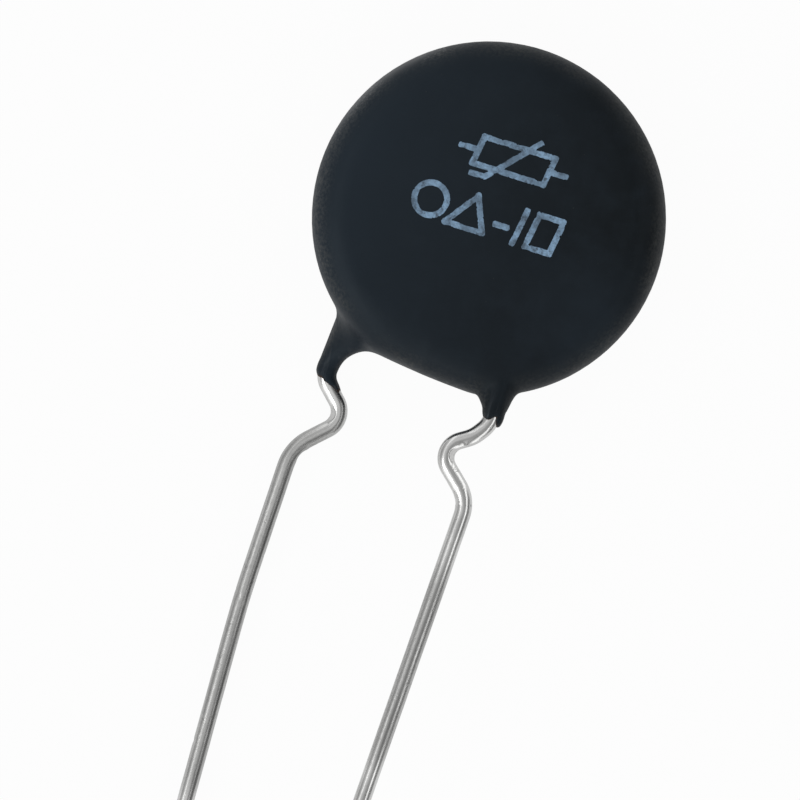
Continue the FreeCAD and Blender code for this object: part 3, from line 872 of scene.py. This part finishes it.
def strokes():
    """The marking's lines as ((x, y), (x, y)) in millimetres, and rings as (x, y, radius)."""

    def slanted(row, *corners):
        """A chain of lines through corners measured from the middle of the row."""
        chain = [(x + MARK_SLANT * y, row + y) for x, y in corners]
        return list(zip(chain, chain[1:]))

    upper, lower = 2.87, 0.03
    left, right, half = -1.42, 2.02, 0.66
    # The symbol's body, its two ends and its slanted stroke, then a triangle, a dash, a bar and a
    # box
    chains = (
        (upper, (left, -half), (right, -half), (right, half), (left, half), (left, -half)),
        (upper, (-2.24, 0.0), (left, 0.0)),
        (upper, (right, 0.0), (2.80, 0.0)),
        (upper, (-1.25, -1.12), (-0.62, -1.12), (1.10, 1.12)),
        (lower, (-1.80, -0.80), (0.0, -0.80), (-0.90, 0.80), (-1.80, -0.80)),
        (lower, (0.40, -0.22), (0.94, -0.22)),
        (lower, (1.48, -0.82), (1.48, 0.82)),
        (lower, (2.08, -0.80), (3.26, -0.80), (3.26, 0.80), (2.08, 0.80), (2.08, -0.80)),
    )
    lines = [line for chain in chains for line in slanted(*chain)]
    rings = [(-2.86, lower, 0.76)]
    return lines, rings


def ink_field(points, stroke, wear):
    """Below zero inside the printed strokes, whose edges and worn spots follow noise."""
    lines, rings = strokes()
    field = np.full(len(points), 10.0)
    half = stroke / MM / 2
    soft = half * 0.6
    for start, end in lines:
        start, end = np.array(start), np.array(end)
        run = end - start
        length = np.linalg.norm(run)
        run /= length
        # A bar with its corners rounded off
        along = np.abs((points - (start + end) / 2) @ run) - length / 2 - half + soft
        across = np.abs((points - start) @ (-run[1], run[0])) - half + soft
        outside = np.hypot(np.maximum(along, 0), np.maximum(across, 0))
        bar = outside + np.minimum(np.maximum(along, across), 0) - soft
        field = np.minimum(field, bar)
    for x, y, radius in rings:
        ring = np.abs(np.linalg.norm(points - (x, y), axis=1) - radius) - half
        field = np.minimum(field, ring)
    for index, (x, y) in enumerate(points):
        if field[index] > 0.2:
            continue
        edge = noise.noise(Vector((x * 6.0, y * 6.0, 2.0)))
        fine = noise.noise(Vector((x * 17.0, y * 17.0, 6.0)))
        worn = noise.noise(Vector((x * 2.1, y * 2.1, 11.0)))
        spot = noise.noise(Vector((x * 9.0, y * 9.0, 15.0)))
        field[index] += 0.005 * edge + 0.007 * fine
        rubbed_and_glint = wear * 0.5 * max(0.0, worn - 0.05) + 0.12 * max(0.0, spot - 0.32)
        field[index] += rubbed_and_glint
    return field


class THERMISTOR_OT_marking(bpy.types.Operator):
    """Prints the marking's plain symbol and shapes on the front of the resin"""
    bl_idname = "thermistor.marking"
    bl_label = "Marking"

    def execute(self, _context):
        chosen = settings("thermistor_marking")
        xs, ys = (np.arange(low, high, MARK_CELL) for low, high in MARK_AREA)
        grid = np.array([(x, y) for y in ys for x in xs])
        field = ink_field(grid, chosen.stroke, chosen.wear)
        width = len(xs)
        skin = surface_of(bpy.data.objects["resin_skin"])
        ink = bmesh.new()
        kept = {}

        def corner(index):
            if index in kept:
                return kept[index]
            x, y = grid[index]
            value = field[index]
            if value > 0:
                # An outside corner slides back onto the stroke's edge
                gx = (field[index + 1] - field[index - 1]) / (2 * MARK_CELL)
                gy = (field[index + width] - field[index - width]) / (2 * MARK_CELL)
                slope = max(math.hypot(gx, gy), 0.4)
                back = min(value / slope, MARK_CELL)
                x, y = x - gx / slope * back, y - gy / slope * back
            hit, _normal, _face, _gap = skin.ray_cast(Vector((x * MM, y * MM, 0.02)),
                                                      Vector((0, 0, -1)))
            kept[index] = ink.verts.new(hit + Vector((0, 0, 0.001 * MM)))
            return kept[index]

        for row in range(1, len(ys) - 2):
            for column in range(1, width - 2):
                index = row * width + column
                square = (index, index + 1, index + 1 + width, index + width)
                if sum(field[i] < 0 for i in square) >= 2:
                    ink.faces.new([corner(i) for i in square])
        mesh = bpy.data.meshes.new("marking")
        ink.to_mesh(mesh)
        ink.free()
        sheet = new_object("marking_sheet", mesh)
        body = sheet.modifiers.new("Film", "SOLIDIFY")
        body.thickness = chosen.film
        body.offset = 1.0
        mesh.materials.append(ink_material(chosen.colour))
        piece = plain_mesh(sheet, "marking")
        seat(piece, "coating_resin")
        return {"FINISHED"}


# ---- Inner pieces ----


class THERMISTOR_OT_core(bpy.types.Operator):
    """Gives the disc, its silver films and the solder their finishes"""
    bl_idname = "thermistor.core"
    bl_label = "Inner pieces"

    def execute(self, _context):
        finishes = (
            (ceramic_material(), ("ceramic_disc",)),
            (silver_material(), ("front_electrode", "rear_electrode")),
            (solder_material(), ("front_solder", "rear_solder")),
        )
        for material, nodes in finishes:
            for name in nodes:
                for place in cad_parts[name].material_slots:
                    place.material = material
        return {"FINISHED"}


# ---- Stage ----


def floor_material(colour):
    """Table top: pale and matt, and nearly white to the camera, with the shadow kept."""
    material = bpy.data.materials.new("table_top")
    material.use_nodes = True
    tree = Tree(material.node_tree)
    shader = material.node_tree.nodes["Principled BSDF"]
    feed(tree, shader, base_color=tuple(colour), roughness=0.8, specular_ior_level=0.2)
    path = tree.add("ShaderNodeLightPath").outputs
    glow = tree.add("ShaderNodeEmission", {"Color": (1, 1, 1, 1), "Strength": 1.0})
    seen = tree.math("MAXIMUM", path["Is Camera Ray"], path["Is Transmission Ray"])
    seen = tree.math("MAXIMUM", seen, tree.times(path["Is Glossy Ray"], 0.45))
    share = tree.times(seen, 0.96)
    blend = tree.add("ShaderNodeMixShader", {0: share, 1: shader.outputs[0], 2: glow.outputs[0]})
    out = next(n for n in material.node_tree.nodes if n.type == "OUTPUT_MATERIAL")
    material.node_tree.links.new(blend.outputs[0], out.inputs["Surface"])
    return material


def add_lamp(name, place, target, size, power):
    lamp = bpy.data.lights.new(name, "AREA")
    lamp.shape = "RECTANGLE"
    lamp.size, lamp.size_y = size
    lamp.energy = power
    thing = bpy.data.objects.new(name, lamp)
    thing.location = place
    thing.rotation_mode = "QUATERNION"
    thing.rotation_quaternion = (Vector(target) - Vector(place)).to_track_quat("-Z", "Y")
    bpy.context.scene.collection.objects.link(thing)


def studio_world():
    """A dim studio: grey overhead, darker to the right, with pale walls low down."""
    world = bpy.data.worlds.new("studio")
    bpy.context.scene.world = world
    world.use_nodes = True
    tree = Tree(world.node_tree)
    background = world.node_tree.nodes["Background"]
    place = tree.add("ShaderNodeTexCoord").outputs["Generated"]
    aside = tree.split(place)[0]
    room = tree.ramp(tree.between(aside, -1.0, 1.0),
                     (0.0, 0.36), (0.06, 0.45), (0.12, 0.60), (0.16, 1.30), (0.20, 1.30),
                     (0.25, 0.62), (0.50, 0.70), (0.60, 0.64), (0.68, 0.38), (0.76, 0.22),
                     (0.80, 1.50), (0.86, 1.50), (0.90, 0.30), (0.96, 0.16), (1.0, 0.30))
    path = tree.add("ShaderNodeLightPath").outputs
    shown = tree.mix(path["Is Camera Ray"], room, (1.0, 1.0, 1.0))
    world.node_tree.links.new(shown, background.inputs["Color"])
    background.inputs["Strength"].default_value = 1.0


class THERMISTOR_OT_stage(bpy.types.Operator):
    """Lays the table top, sets the lamps and points the camera"""
    bl_idname = "thermistor.stage"
    bl_label = "Stage"

    def execute(self, context):
        chosen = settings("thermistor_studio")
        top = bmesh.new()
        bmesh.ops.create_grid(top, x_segments=2, y_segments=2, size=1.5)
        mesh = bpy.data.meshes.new("table_top")
        top.to_mesh(mesh)
        top.free()
        mesh.materials.append(floor_material(chosen.floor))
        floor = new_object("table_top", mesh)
        # Just clear of the flat back, so that the two faces don't coincide
        floor.location.z = -0.02 * MM

        middle = (0.0, -0.01, 0.0)
        add_lamp("key_lamp", (-0.26, -0.24, 0.34), middle, (0.22, 0.22), 0.36)
        add_lamp("foot_lamp", (-0.05, -0.42, 0.20), middle, (0.40, 0.16), 0.25)
        studio_world()

        camera = bpy.data.cameras.new("camera")
        camera.lens = chosen.lens
        camera.sensor_width = 36.0
        distance = chosen.width * chosen.lens / camera.sensor_width
        camera.clip_start, camera.clip_end = 0.01, 10.0
        eye = bpy.data.objects.new("camera", camera)
        eye.location = (-1.416 * MM, -9.30 * MM, DISC_MIDDLE + distance)
        eye.rotation_euler = (0.0, 0.0, chosen.roll)
        context.scene.collection.objects.link(eye)
        context.scene.camera = eye
        context.scene.view_settings.view_transform = "Standard"
        return {"FINISHED"}


# ---- Panel ----


OPERATORS = (THERMISTOR_OT_coat, THERMISTOR_OT_leads, THERMISTOR_OT_marking, THERMISTOR_OT_core,
             THERMISTOR_OT_stage)


class THERMISTOR_PT_build(bpy.types.Panel):
    """Lists the pieces and their settings"""
    bl_label = "Disc thermistor"
    bl_space_type = "VIEW_3D"
    bl_region_type = "UI"
    bl_category = "Thermistor"

    def draw(self, context):
        for operator in OPERATORS:
            self.layout.operator(operator.bl_idname)
        for name, group in SETTINGS.items():
            box = self.layout.box()
            for field in group.__annotations__:
                box.prop(getattr(context.scene, name), field)


def register():
    for name, group in SETTINGS.items():
        bpy.utils.register_class(group)
        setattr(bpy.types.Scene, name, bpy.props.PointerProperty(type=group))
    for kind in (*OPERATORS, THERMISTOR_PT_build):
        bpy.utils.register_class(kind)


def unregister():
    for kind in (THERMISTOR_PT_build, *reversed(OPERATORS)):
        bpy.utils.unregister_class(kind)
    for name, group in SETTINGS.items():
        delattr(bpy.types.Scene, name)
        bpy.utils.unregister_class(group)


def main():
    register()
    bpy.ops.thermistor.coat()
    bpy.ops.thermistor.leads()
    bpy.ops.thermistor.marking()
    bpy.ops.thermistor.core()
    bpy.ops.thermistor.stage()


if __name__ == "__main__":
    main()
